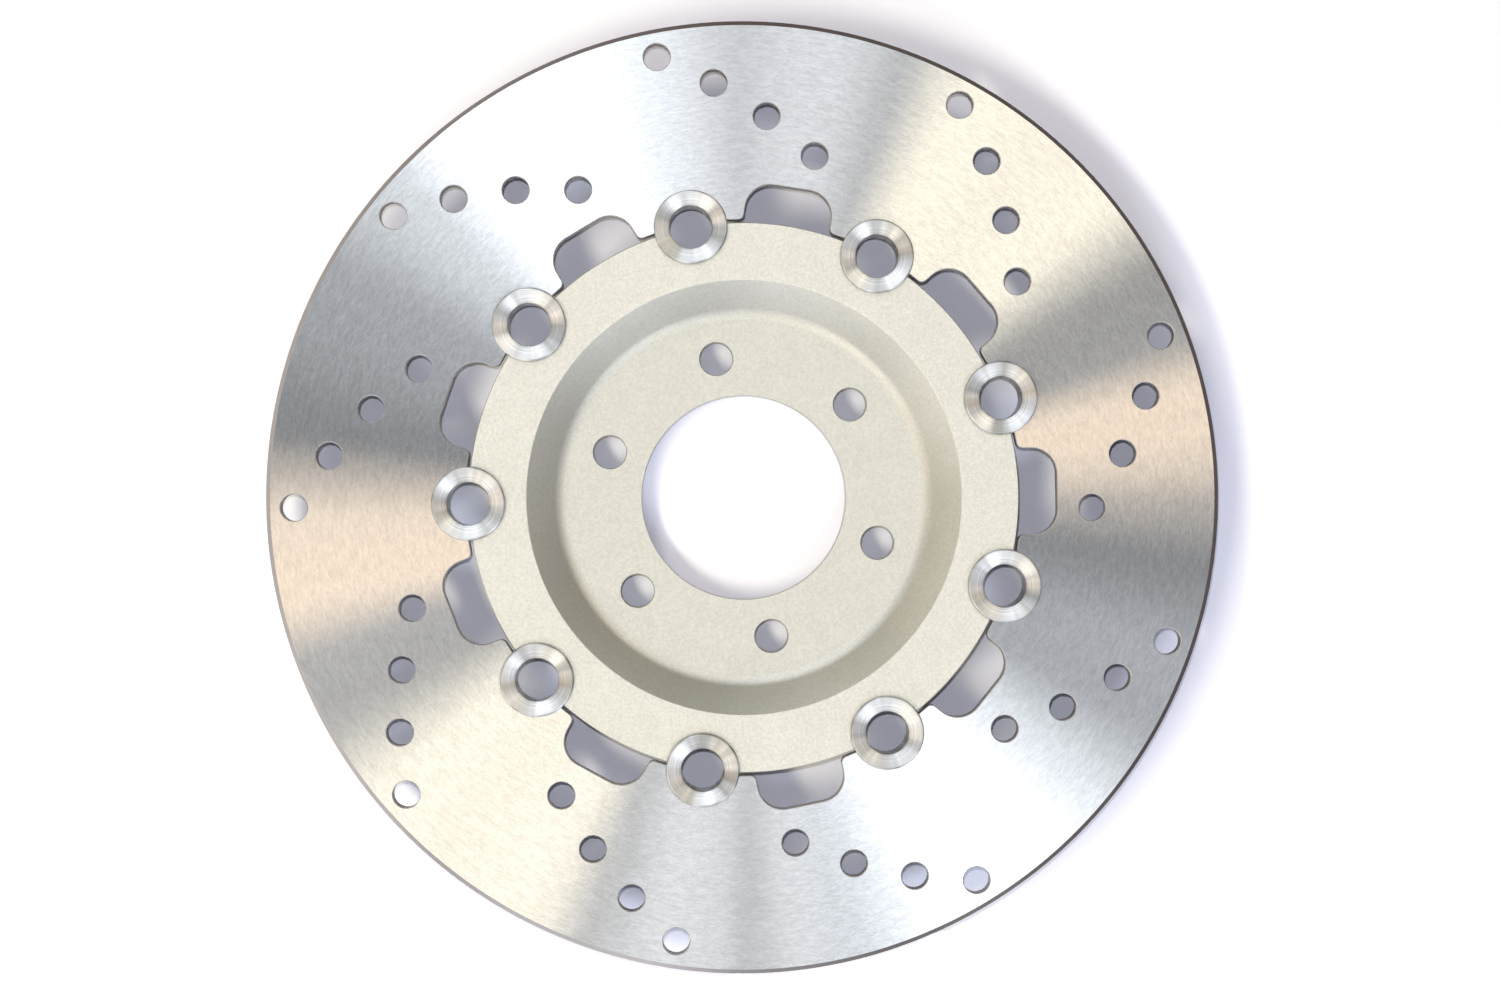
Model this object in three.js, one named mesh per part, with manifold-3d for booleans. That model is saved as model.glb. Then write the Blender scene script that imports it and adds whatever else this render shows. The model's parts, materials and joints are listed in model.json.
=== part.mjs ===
// Floating motorcycle brake disc rotor, in millimetres.
//
// The rotor stands on edge. Its spin axis is +Y, its outer face looks along -Y and +Z is up. The origin is
// on the spin axis, in the middle plane of the friction ring. A drilled steel friction ring hangs on a dished
// aluminium carrier by nine hollow bobbins. Each bobbin sits half in a round notch of the ring and half in
// one of the carrier, and a wave washer, a flat washer and a circlip hold it at the back.

import * as THREE from 'three';
import { mergeVertices } from 'three/addons/utils/BufferGeometryUtils.js';
import Module from 'manifold-3d';

const wasm = await Module();
wasm.setup();

// Driving dimensions. "Front" is the -Y side and "back" is the +Y side.
const BOBBIN_COUNT = 9;
const BOLT_COUNT = 6;
const FIRST_ANGLE = Math.PI / 2; // the first bobbin and the first bolt hole share this angle, straight up
const SECTOR = (2 * Math.PI) / BOBBIN_COUNT;
const FLOAT_GAP = 0.35; // axial room between the ring and whatever holds it, on each side
const SHANK_CLEARANCE = 0.2; // radial room round a bobbin's shank

const RING_THICKNESS = 5;
const RING_OUTER_RADIUS = 150;
const RING_INNER_RADIUS = 87.5;
const RING_EDGE_CHAMFER = 0.8;

const WINDOW_TOP_RADIUS = 98.7;
const WINDOW_HALF_WIDTH = 13.7;
const WINDOW_CORNER_RADIUS = 8;
const LUG_CORNER_RADIUS = 2;

const DRILL_RADIUS = 4.25;
const DRILLS_PER_ROW = 4;
const DRILL_OUTER_PITCH_RADIUS = 141.1;
const DRILL_SPACING = 19.6;
const DRILL_FIRST_HEADING = THREE.MathUtils.degToRad(234.6); // of the step inwards from a row's outermost hole
const DRILL_TURN_PER_STEP = THREE.MathUtils.degToRad(-7.7);

const CARRIER_OUTER_RADIUS = 86.5;
const FLANGE_THICKNESS = RING_THICKNESS;
const FLANGE_INNER_RADIUS = 68.5;
const DISH_DEPTH = 10;
const DISH_FILLET_RADIUS = 6;
const FLOOR_THICKNESS = 6;
const WALL_THICKNESS = 5; // of the 45 degree cone between flange and floor
const HUB_BORE_RADIUS = 32.5;
const CARRIER_CHAMFER = 0.5;
const BOLT_CIRCLE_RADIUS = 45;
const BOLT_HOLE_RADIUS = 5.25;

const BOBBIN_CIRCLE_RADIUS = 86.6;
const BOBBIN_FLANGE_RADIUS = 11.6;
const BOBBIN_FLANGE_THICKNESS = 1.4;
const BOBBIN_RIM_RADIUS = 10.9; // where the flat rim meets the dished face
const BOBBIN_DISH_DEPTH = 0.8;
const BOBBIN_BORE_RADIUS = 6.75;
const BOBBIN_SHANK_RADIUS = 8.4;
const BOBBIN_CHAMFER = 0.3;
const GROOVE_RADIUS = 7.7;
const GROOVE_WIDTH = 1.2;
const END_LIP = 0.9; // shank left behind the circlip groove

const WAVE_COUNT = 3;
const WAVE_STRIP = 0.4;
const WAVE_HEIGHT = 1.1; // over the crests
const WASHER_INNER_RADIUS = 8.7;
const WAVE_OUTER_RADIUS = 11.3;
const FLAT_WASHER_OUTER_RADIUS = 11.6;
const FLAT_WASHER_THICKNESS = 1;
const STACK_GAP = 0.05; // between neighbours in a bobbin's retaining stack

const CIRCLIP_INNER_RADIUS = 7.95;
const CIRCLIP_OUTER_RADIUS = 9.9;
const CIRCLIP_THICKNESS = 1;
const CIRCLIP_GAP_ANGLE = THREE.MathUtils.degToRad(24); // half the open mouth
const CIRCLIP_EAR_RADIUS = 1.5;
const CIRCLIP_EAR_PITCH_RADIUS = 9.9;
const CIRCLIP_EAR_ANGLE = THREE.MathUtils.degToRad(32);
const CIRCLIP_EAR_HOLE_RADIUS = 0.7;

// Facet counts.
const RING_FACETS = 96;
const CARRIER_FACETS = 60;
const BOBBIN_FACETS = 20;
const NOTCH_FACETS = 24;
const DRILL_FACETS = 10;
const BOLT_HOLE_FACETS = 16;
const WASHER_FACETS = 20;
const WAVE_FACETS = 24;
const FILLET_FACETS = 3;
const ARC_DIVISIONS = 2; // an extruded outline's arc gets twice this many facets
const CIRCLIP_DIVISIONS = 9;
const EAR_FACETS = 8;

// Positions along the axis that follow from the dimensions above.
const RING_FRONT = -RING_THICKNESS / 2;
const RING_BACK = RING_THICKNESS / 2;
const FLOOR_FRONT = RING_FRONT + DISH_DEPTH;
const FLOOR_BACK = FLOOR_FRONT + FLOOR_THICKNESS;
const WAVE_FRONT = RING_BACK + FLOAT_GAP;
const FLAT_WASHER_FRONT = WAVE_FRONT + WAVE_HEIGHT + STACK_GAP;
const GROOVE_FRONT = FLAT_WASHER_FRONT + FLAT_WASHER_THICKNESS + STACK_GAP;
const GROOVE_BACK = GROOVE_FRONT + GROOVE_WIDTH;
const CIRCLIP_FRONT = GROOVE_FRONT + (GROOVE_WIDTH - CIRCLIP_THICKNESS) / 2;
const NOTCH_RADIUS = BOBBIN_SHANK_RADIUS + SHANK_CLEARANCE;

const ringSteel = new THREE.MeshStandardMaterial({ color: 0xb9b9b4, roughness: 0.32, metalness: 1 });
const castAluminium = new THREE.MeshStandardMaterial({ color: 0xd9d7cb, roughness: 0.62, metalness: 0.75 });
const turnedSteel = new THREE.MeshStandardMaterial({ color: 0xd2d2d0, roughness: 0.24, metalness: 1 });
const springSteel = new THREE.MeshStandardMaterial({ color: 0x77746f, roughness: 0.38, metalness: 1 });
const zincPlate = new THREE.MeshStandardMaterial({ color: 0xb4b8bb, roughness: 0.42, metalness: 1 });
const phosphateSteel = new THREE.MeshStandardMaterial({ color: 0x33333a, roughness: 0.5, metalness: 0.9 });

// --- Solids -----------------------------------------------------------------------------------------------

// A closed geometry as a solid that can be cut.
function toSolid(geometry) {
  const bare = geometry.clone();
  bare.deleteAttribute('normal');
  bare.deleteAttribute('uv');
  const merged = mergeVertices(bare);
  const vertProperties = new Float32Array(merged.attributes.position.array);
  const triVerts = new Uint32Array(merged.index.array);
  return new wasm.Manifold(new wasm.Mesh({ numProp: 3, vertProperties, triVerts }));
}

// A solid back as a geometry with flat faces.
function toGeometry(solid) {
  const mesh = solid.getMesh();
  const indexed = new THREE.BufferGeometry();
  indexed.setAttribute('position', new THREE.BufferAttribute(new Float32Array(mesh.vertProperties), 3));
  indexed.setIndex(new THREE.BufferAttribute(new Uint32Array(mesh.triVerts), 1));
  const flat = indexed.toNonIndexed();
  flat.computeVertexNormals();
  return flat;
}

function cutAll(blank, cutters) {
  return toGeometry(cutters.reduce((rest, cutter) => rest.subtract(toSolid(cutter)), toSolid(blank)));
}

// A closed profile of [radius, y] corners turned round the Y axis.
function turned(profile, facets) {
  const corners = [...profile, profile[0]].map(([radius, y]) => new THREE.Vector2(radius, y));
  return new THREE.LatheGeometry(corners, facets);
}

// A flat outline, drawn as seen from the front with its own y up, made a plate between two planes.
function plate(shape, front, back, curveSegments) {
  const geometry = new THREE.ExtrudeGeometry(shape, { depth: back - front, bevelEnabled: false, curveSegments });
  geometry.rotateX(Math.PI / 2);
  geometry.translate(0, back, 0);
  return geometry;
}

// A round cutter along Y through the whole rotor. Angles run anticlockwise as seen from the front.
function roundCutter(radius, pitchRadius, angle, facets) {
  const length = 4 * (FLOOR_BACK - RING_FRONT);
  const geometry = new THREE.CylinderGeometry(radius, radius, length, facets);
  geometry.translate(pitchRadius * Math.cos(angle), 0, pitchRadius * Math.sin(angle));
  return geometry;
}

function bobbinAngle(index) {
  return FIRST_ANGLE + index * SECTOR;
}

function bobbinNotches() {
  return Array.from({ length: BOBBIN_COUNT }, (_, index) =>
    roundCutter(NOTCH_RADIUS, BOBBIN_CIRCLE_RADIUS, bobbinAngle(index), NOTCH_FACETS));
}

// --- Friction ring ----------------------------------------------------------------------------------------

function ringProfile() {
  return [
    [RING_INNER_RADIUS, RING_BACK],
    [RING_INNER_RADIUS, RING_FRONT],
    [RING_OUTER_RADIUS - RING_EDGE_CHAMFER, RING_FRONT],
    [RING_OUTER_RADIUS, RING_FRONT + RING_EDGE_CHAMFER],
    [RING_OUTER_RADIUS, RING_BACK - RING_EDGE_CHAMFER],
    [RING_OUTER_RADIUS - RING_EDGE_CHAMFER, RING_BACK],
  ];
}

// The scallop between two lugs of the ring: straight sides, rounded top corners, and mouth edges that flare
// where they round off the corners of the lugs.
function windowCutter(angle) {
  const side = WINDOW_HALF_WIDTH;
  const mouth = side + LUG_CORNER_RADIUS;
  const mouthHeight = Math.sqrt(RING_INNER_RADIUS ** 2 - mouth ** 2) - STACK_GAP;
  const foot = mouthHeight - LUG_CORNER_RADIUS;
  const lugCentre = mouthHeight + LUG_CORNER_RADIUS;
  const cornerCentre = WINDOW_TOP_RADIUS - WINDOW_CORNER_RADIUS;
  const shape = new THREE.Shape();
  shape.moveTo(-mouth, foot);
  shape.lineTo(mouth, foot);
  shape.absarc(mouth, lugCentre, LUG_CORNER_RADIUS, -Math.PI / 2, -Math.PI, true);
  shape.absarc(side - WINDOW_CORNER_RADIUS, cornerCentre, WINDOW_CORNER_RADIUS, 0, Math.PI / 2, false);
  shape.absarc(WINDOW_CORNER_RADIUS - side, cornerCentre, WINDOW_CORNER_RADIUS, Math.PI / 2, Math.PI, false);
  shape.absarc(-mouth, lugCentre, LUG_CORNER_RADIUS, 0, -Math.PI / 2, true);
  const geometry = plate(shape, RING_FRONT - 1, RING_BACK + 1, ARC_DIVISIONS);
  geometry.rotateY(Math.PI / 2 - angle);
  return geometry;
}

// Pitch radius and angle of each hole in one drilled row. The row starts in line with its bobbin, near the
// rim, and walks inwards and clockwise along a shallow arc.
function drillRow(startAngle) {
  const places = [];
  let x = DRILL_OUTER_PITCH_RADIUS;
  let y = 0;
  let heading = DRILL_FIRST_HEADING;
  for (let step = 0; step < DRILLS_PER_ROW; step += 1) {
    places.push([Math.hypot(x, y), startAngle + Math.atan2(y, x)]);
    x += DRILL_SPACING * Math.cos(heading);
    y += DRILL_SPACING * Math.sin(heading);
    heading += DRILL_TURN_PER_STEP;
  }
  return places;
}

function frictionRing() {
  const cutters = bobbinNotches();
  for (let index = 0; index < BOBBIN_COUNT; index += 1) {
    cutters.push(windowCutter(bobbinAngle(index) + SECTOR / 2));
    for (const [radius, angle] of drillRow(bobbinAngle(index))) {
      cutters.push(roundCutter(DRILL_RADIUS, radius, angle, DRILL_FACETS));
    }
  }
  return cutAll(turned(ringProfile(), RING_FACETS), cutters);
}

// --- Carrier ----------------------------------------------------------------------------------------------

// Points of the concave fillet between the dish's 45 degree wall and its floor, from the floor outwards.
function dishFillet() {
  const reach = DISH_FILLET_RADIUS * Math.tan(Math.PI / 8);
  const startRadius = FLANGE_INNER_RADIUS - DISH_DEPTH - reach;
  return Array.from({ length: FILLET_FACETS + 1 }, (_, step) => {
    const turn = (step / FILLET_FACETS) * (Math.PI / 4);
    return [
      startRadius + DISH_FILLET_RADIUS * Math.sin(turn),
      FLOOR_FRONT - DISH_FILLET_RADIUS * (1 - Math.cos(turn)),
    ];
  });
}

function carrierProfile() {
  const flangeBack = RING_FRONT + FLANGE_THICKNESS;
  const wallBackRadius = FLANGE_INNER_RADIUS + WALL_THICKNESS * Math.SQRT2 - FLANGE_THICKNESS;
  const heelRadius = wallBackRadius - (FLOOR_BACK - flangeBack);
  return [
    [HUB_BORE_RADIUS, FLOOR_BACK - CARRIER_CHAMFER],
    [HUB_BORE_RADIUS, FLOOR_FRONT + CARRIER_CHAMFER],
    [HUB_BORE_RADIUS + CARRIER_CHAMFER, FLOOR_FRONT],
    ...dishFillet(),
    [FLANGE_INNER_RADIUS, RING_FRONT],
    [CARRIER_OUTER_RADIUS - CARRIER_CHAMFER, RING_FRONT],
    [CARRIER_OUTER_RADIUS, RING_FRONT + CARRIER_CHAMFER],
    [CARRIER_OUTER_RADIUS, flangeBack - CARRIER_CHAMFER],
    [CARRIER_OUTER_RADIUS - CARRIER_CHAMFER, flangeBack],
    [wallBackRadius, flangeBack],
    [heelRadius + CARRIER_CHAMFER, FLOOR_BACK - CARRIER_CHAMFER],
    [heelRadius - CARRIER_CHAMFER, FLOOR_BACK],
    [HUB_BORE_RADIUS + CARRIER_CHAMFER, FLOOR_BACK],
  ];
}

function carrier() {
  const cutters = bobbinNotches();
  for (let index = 0; index < BOLT_COUNT; index += 1) {
    const angle = FIRST_ANGLE + (index * 2 * Math.PI) / BOLT_COUNT;
    cutters.push(roundCutter(BOLT_HOLE_RADIUS, BOLT_CIRCLE_RADIUS, angle, BOLT_HOLE_FACETS));
  }
  return cutAll(turned(carrierProfile(), CARRIER_FACETS), cutters);
}

// --- Bobbin and its retaining stack, each about its own Y axis ----------------------------------------------

function bobbin() {
  const underside = RING_FRONT - FLOAT_GAP;
  const front = underside - BOBBIN_FLANGE_THICKNESS;
  const end = GROOVE_BACK + END_LIP;
  return turned([
    [BOBBIN_BORE_RADIUS, end],
    [BOBBIN_BORE_RADIUS, front + BOBBIN_DISH_DEPTH],
    [BOBBIN_RIM_RADIUS, front],
    [BOBBIN_FLANGE_RADIUS - BOBBIN_CHAMFER, front],
    [BOBBIN_FLANGE_RADIUS, front + BOBBIN_CHAMFER],
    [BOBBIN_FLANGE_RADIUS, underside],
    [BOBBIN_SHANK_RADIUS, underside],
    [BOBBIN_SHANK_RADIUS, GROOVE_FRONT],
    [GROOVE_RADIUS, GROOVE_FRONT],
    [GROOVE_RADIUS, GROOVE_BACK],
    [BOBBIN_SHANK_RADIUS, GROOVE_BACK],
    [BOBBIN_SHANK_RADIUS, end - BOBBIN_CHAMFER],
    [BOBBIN_SHANK_RADIUS - BOBBIN_CHAMFER, end],
  ], BOBBIN_FACETS);
}

// A flat spring strip bent into waves round its circle: a turned strip whose points rise and fall with angle.
function waveWasher() {
  const swing = (WAVE_HEIGHT - WAVE_STRIP) / 2;
  const middle = WAVE_FRONT + WAVE_HEIGHT / 2;
  const geometry = turned([
    [WASHER_INNER_RADIUS, WAVE_STRIP / 2],
    [WASHER_INNER_RADIUS, -WAVE_STRIP / 2],
    [WAVE_OUTER_RADIUS, -WAVE_STRIP / 2],
    [WAVE_OUTER_RADIUS, WAVE_STRIP / 2],
  ], WAVE_FACETS);
  const position = geometry.attributes.position;
  for (let index = 0; index < position.count; index += 1) {
    const angle = Math.atan2(position.getZ(index), position.getX(index));
    position.setY(index, position.getY(index) + middle + swing * Math.cos(WAVE_COUNT * angle));
  }
  geometry.computeVertexNormals();
  return geometry;
}

function flatWasher() {
  const back = FLAT_WASHER_FRONT + FLAT_WASHER_THICKNESS;
  return turned([
    [WASHER_INNER_RADIUS, back],
    [WASHER_INNER_RADIUS, FLAT_WASHER_FRONT],
    [FLAT_WASHER_OUTER_RADIUS, FLAT_WASHER_FRONT],
    [FLAT_WASHER_OUTER_RADIUS, back],
  ], WASHER_FACETS);
}

// An open ring with a drilled ear at each side of its mouth. The mouth points along the local +Y of the
// outline, which is outwards from the rotor's axis.
function circlip() {
  const middle = Math.PI / 2;
  const shape = new THREE.Shape();
  const startAngle = middle + CIRCLIP_GAP_ANGLE;
  const endAngle = middle - CIRCLIP_GAP_ANGLE + 2 * Math.PI;
  shape.absarc(0, 0, CIRCLIP_OUTER_RADIUS, startAngle, endAngle, false);
  shape.absarc(0, 0, CIRCLIP_INNER_RADIUS, endAngle, startAngle, true);
  const back = CIRCLIP_FRONT + CIRCLIP_THICKNESS;
  let solid = toSolid(plate(shape, CIRCLIP_FRONT, back, CIRCLIP_DIVISIONS));
  for (const side of [-1, 1]) {
    const angle = middle + side * CIRCLIP_EAR_ANGLE;
    const x = CIRCLIP_EAR_PITCH_RADIUS * Math.cos(angle);
    const z = CIRCLIP_EAR_PITCH_RADIUS * Math.sin(angle);
    const ear = new THREE.CylinderGeometry(
      CIRCLIP_EAR_RADIUS, CIRCLIP_EAR_RADIUS, CIRCLIP_THICKNESS, EAR_FACETS);
    ear.translate(x, CIRCLIP_FRONT + CIRCLIP_THICKNESS / 2, z);
    const hole = roundCutter(CIRCLIP_EAR_HOLE_RADIUS, CIRCLIP_EAR_PITCH_RADIUS, angle, EAR_FACETS);
    solid = solid.add(toSolid(ear)).subtract(toSolid(hole));
  }
  return toGeometry(solid);
}

// --- Assembly ---------------------------------------------------------------------------------------------

function named(name, geometry, material) {
  const mesh = new THREE.Mesh(geometry, material.clone());
  mesh.name = name;
  return mesh;
}

const rotor = new THREE.Group();
rotor.add(named('friction_ring', frictionRing(), ringSteel));
rotor.add(named('carrier', carrier(), castAluminium));

const stack = [
  ['bobbin', bobbin(), turnedSteel],
  ['wave_washer', waveWasher(), springSteel],
  ['flat_washer', flatWasher(), zincPlate],
  ['circlip', circlip(), phosphateSteel],
];
for (let index = 0; index < BOBBIN_COUNT; index += 1) {
  const angle = bobbinAngle(index);
  const station = new THREE.Group();
  station.position.set(BOBBIN_CIRCLE_RADIUS * Math.cos(angle), 0, BOBBIN_CIRCLE_RADIUS * Math.sin(angle));
  station.rotation.y = Math.PI / 2 - angle;
  for (const [name, geometry, material] of stack) {
    station.add(named(`${name}_${index + 1}`, geometry, material));
  }
  rotor.add(station);
}

export default rotor;
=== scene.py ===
"""A floating motorcycle brake disc rotor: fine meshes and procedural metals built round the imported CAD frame.

The rotor stands on edge. Its spin axis is +Y, its outer face looks along -Y and +Z is up. Flat outlines are
lists of (x, z) points, and angles run anticlockwise as seen from the front.
"""

import json
import math

import bmesh
import bpy
from mathutils import Matrix, Vector, geometry


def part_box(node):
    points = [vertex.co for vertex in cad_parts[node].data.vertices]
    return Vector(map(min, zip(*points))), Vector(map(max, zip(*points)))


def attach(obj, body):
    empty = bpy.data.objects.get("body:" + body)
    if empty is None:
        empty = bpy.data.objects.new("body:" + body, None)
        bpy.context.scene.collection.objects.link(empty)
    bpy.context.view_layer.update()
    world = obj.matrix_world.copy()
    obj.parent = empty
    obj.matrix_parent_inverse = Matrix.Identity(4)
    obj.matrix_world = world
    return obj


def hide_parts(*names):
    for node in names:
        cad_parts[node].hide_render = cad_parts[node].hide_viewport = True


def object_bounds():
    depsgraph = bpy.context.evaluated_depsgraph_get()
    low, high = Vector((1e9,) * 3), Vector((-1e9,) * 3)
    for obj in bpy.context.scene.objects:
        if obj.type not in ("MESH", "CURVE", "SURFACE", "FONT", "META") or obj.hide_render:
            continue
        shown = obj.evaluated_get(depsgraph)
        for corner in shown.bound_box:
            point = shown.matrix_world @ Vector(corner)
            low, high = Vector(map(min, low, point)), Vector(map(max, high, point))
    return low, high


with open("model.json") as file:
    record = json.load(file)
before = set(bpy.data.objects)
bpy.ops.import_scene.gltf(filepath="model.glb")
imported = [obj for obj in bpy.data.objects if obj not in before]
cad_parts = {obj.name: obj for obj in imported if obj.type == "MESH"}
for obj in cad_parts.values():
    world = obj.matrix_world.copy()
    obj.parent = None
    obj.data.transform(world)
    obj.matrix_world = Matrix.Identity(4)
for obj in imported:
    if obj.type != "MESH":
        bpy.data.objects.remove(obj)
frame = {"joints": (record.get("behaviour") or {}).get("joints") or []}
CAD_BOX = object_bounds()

MM = 0.001
DEGREE = math.pi / 180

# --- Sizes that the frame holds -------------------------------------------------------------------

RING_LOW, RING_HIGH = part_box("friction_ring")
CARRIER_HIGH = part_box("carrier")[1]
BOBBIN_LOW, BOBBIN_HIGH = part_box("bobbin_1")
WAVE_LOW, WAVE_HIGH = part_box("wave_washer_1")
WASHER_LOW, WASHER_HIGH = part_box("flat_washer_1")
CIRCLIP_LOW, CIRCLIP_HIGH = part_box("circlip_1")
HINGES = [joint for joint in frame["joints"] if joint["type"] == "hinge"]
STATIONS = [Vector(joint["pos_m"]) for joint in HINGES]
STATION_ANGLES = [math.atan2(place.z, place.x) for place in STATIONS]
SECTOR = 2 * math.pi / len(STATIONS)

FRONT = RING_LOW.y
BACK = RING_HIGH.y
RING_OUTER = RING_HIGH.z
CARRIER_OUTER = CARRIER_HIGH.x
FLOOR_BACK = CARRIER_HIGH.y
PITCH_RADIUS = math.hypot(STATIONS[0].x, STATIONS[0].z)
FLANGE_RADIUS = (BOBBIN_HIGH.x - BOBBIN_LOW.x) / 2

# --- Driving sizes of shapes that the frame's boxes don't give ------------------------------------

RING_INNER = 87.5 * MM
RING_EDGE_CHAMFER = 1.5 * MM
EDGE_BREAK = 0.25 * MM
NOTCH_RADIUS = 8.6 * MM
WINDOW_TOP = 98.7 * MM
WINDOW_SIDE = 13.7 * MM
WINDOW_CORNER = 8 * MM
LUG_CORNER = 2 * MM
DRILL_RADIUS = 4.25 * MM
DRILLS_PER_ROW = 4
DRILL_START = 141.1 * MM
DRILL_SPACING = 19.6 * MM
DRILL_HEADING = 234.6 * DEGREE
DRILL_TURN = -7.7 * DEGREE

FLANGE_INNER = 68.5 * MM
DISH_DEPTH = 10 * MM
DISH_FILLET = 6 * MM
DISH_EDGE_ROUND = 0.6 * MM
WALL_THICKNESS = 5 * MM
HEEL_ROUND = 3 * MM
FLANGE_BACK_ROUND = 2 * MM
BORE_RADIUS = 32.5 * MM
BORE_BREAK = 0.12 * MM
BOLT_COUNT = 6
BOLT_CIRCLE = 45 * MM
BOLT_HOLE = 5.25 * MM

BOBBIN_BORE = 6.75 * MM
BOBBIN_RIM = 10.9 * MM
BOBBIN_DISH = 0.8 * MM
BOBBIN_FLANGE = 1.4 * MM
FLANGE_CHAMFER = 0.45 * MM
BOBBIN_SHANK = 8.4 * MM
BOBBIN_ROUND = 0.3 * MM
GROOVE_RADIUS = 7.7 * MM
GROOVE_MARGIN = 0.1 * MM

WASHER_INNER = 8.7 * MM
WAVE_STRIP = 0.4 * MM
WAVE_COUNT = 3
CIRCLIP_INNER = 7.95 * MM
CIRCLIP_OUTER = 9.9 * MM
CIRCLIP_MOUTH = 24 * DEGREE
CIRCLIP_EAR = 1.5 * MM
CIRCLIP_EAR_ANGLE = 32 * DEGREE
CIRCLIP_EAR_HOLE = 0.7 * MM
CIRCLIP_EAR_END = 0.25  # radians that the ear's arc stops short of the mouth's foot
WIRE_ROUND = 0.12 * MM

# Points round a circle of each kind. AROUND is for those of the ring and the carrier.
AROUND = 288
DRILL_AROUND = 40
BOLT_HOLE_AROUND = 48
PLAIN_AROUND = 96
WAVE_AROUND = 120
EAR_HOLE_AROUND = 20
NOTCH_STEPS = 28

SMOOTH_ANGLE = 28 * DEGREE  # faces that meet at less than this are shaded as one
WELD_DISTANCE = 0.5e-6

# Points that fill the flat faces: how far apart they are, and how far they keep from edges and holes.
FILL_SPACING = 4 * MM
FLANGE_FILL_SPACING = 3.5 * MM
EDGE_MARGIN = 3 * MM
WINDOW_MARGIN = 4 * MM
DRILL_MARGIN = 1.6 * MM
HOLE_MARGIN = 2 * MM


# --- Outlines -------------------------------------------------------------------------------------

def polar(radius, angle):
    return Vector((radius * math.cos(angle), radius * math.sin(angle)))


def turn(point, angle):
    return Vector(point) @ Matrix.Rotation(-angle, 2)


def arc(centre, radius, start, end, steps):
    """Points of an arc from start to end, both included."""
    return [
        Vector(centre) + polar(radius, start + (end - start) * step / steps)
        for step in range(steps + 1)
    ]


def circle(radius, count=AROUND, centre=(0, 0)):
    return arc(centre, radius, 0, 2 * math.pi, count)[:-1]


def between(start, end, steps):
    """Points of the arc about the origin between two points, without its ends."""
    radius = (start.length + end.length) / 2
    first = math.atan2(start.y, start.x)
    sweep = (math.atan2(end.y, end.x) - first) % (2 * math.pi)
    return [polar(radius, first + sweep * step / steps) for step in range(1, steps)]


def ring_inner_outline(grow):
    """The ring's inner edge with its notches and windows, moved into the ring by grow."""
    inner = RING_INNER + grow
    notch = NOTCH_RADIUS + grow
    half = math.acos((inner**2 - PITCH_RADIUS**2 - notch**2) / (2 * PITCH_RADIUS * notch))
    notch_arc = arc((PITCH_RADIUS, 0), notch, -half, half, NOTCH_STEPS)
    lug = LUG_CORNER - grow
    lug_side = WINDOW_SIDE + LUG_CORNER
    lug_height = math.sqrt((RING_INNER + LUG_CORNER) ** 2 - lug_side**2)
    lug_angle = math.atan2(lug_side, lug_height)
    corner_height = WINDOW_TOP - WINDOW_CORNER
    corner_side = WINDOW_SIDE - WINDOW_CORNER
    corner = WINDOW_CORNER + grow
    rising = arc((lug_height, -lug_side), lug, math.pi - lug_angle, math.pi / 2, 6)
    rising += arc((corner_height, -corner_side), corner, -math.pi / 2, 0, 12)
    falling = [Vector((point.x, -point.y)) for point in reversed(rising)]
    window = rising + falling
    points = []
    for angle in STATION_ANGLES:
        here = [turn(point, angle) for point in notch_arc]
        scallop = [turn(point, angle + SECTOR / 2) for point in window]
        following = turn(notch_arc[0], angle + SECTOR)
        points += here + between(here[-1], scallop[0], 8) + scallop
        points += between(scallop[-1], following, 8)
    return points


def carrier_outline(shrink):
    """The carrier's rim with its notches, moved into the carrier by shrink."""
    rim = CARRIER_OUTER - shrink
    notch = NOTCH_RADIUS + shrink
    half = math.acos((rim**2 - PITCH_RADIUS**2 - notch**2) / (2 * PITCH_RADIUS * notch))
    notch_arc = arc((PITCH_RADIUS, 0), notch, -half, half - 2 * math.pi, NOTCH_STEPS)
    points = []
    for angle in STATION_ANGLES:
        here = [turn(point, angle) for point in notch_arc]
        following = turn(notch_arc[0], angle + SECTOR)
        points += here + between(here[-1], following, 40)
    return points


def drill_places():
    """Centres of the drilled holes: each row walks inwards and clockwise from beyond its bobbin."""
    places = []
    for angle in STATION_ANGLES:
        point = Vector((DRILL_START, 0))
        heading = DRILL_HEADING
        for _ in range(DRILLS_PER_ROW):
            places.append(turn(point, angle))
            point = point + polar(DRILL_SPACING, heading)
            heading += DRILL_TURN
    return places


def bolt_places():
    step = 2 * math.pi / BOLT_COUNT
    return [polar(BOLT_CIRCLE, STATION_ANGLES[0] + index * step) for index in range(BOLT_COUNT)]


def encloses(border, point):
    """Whether a closed outline goes round a point."""
    inside = False
    for index, a in enumerate(border):
        b = border[index - 1]
        if (a.y > point.y) != (b.y > point.y):
            inside ^= point.x < a.x + (b.x - a.x) * (point.y - a.y) / (b.y - a.y)
    return inside


# --- Meshes ---------------------------------------------------------------------------------------

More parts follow.
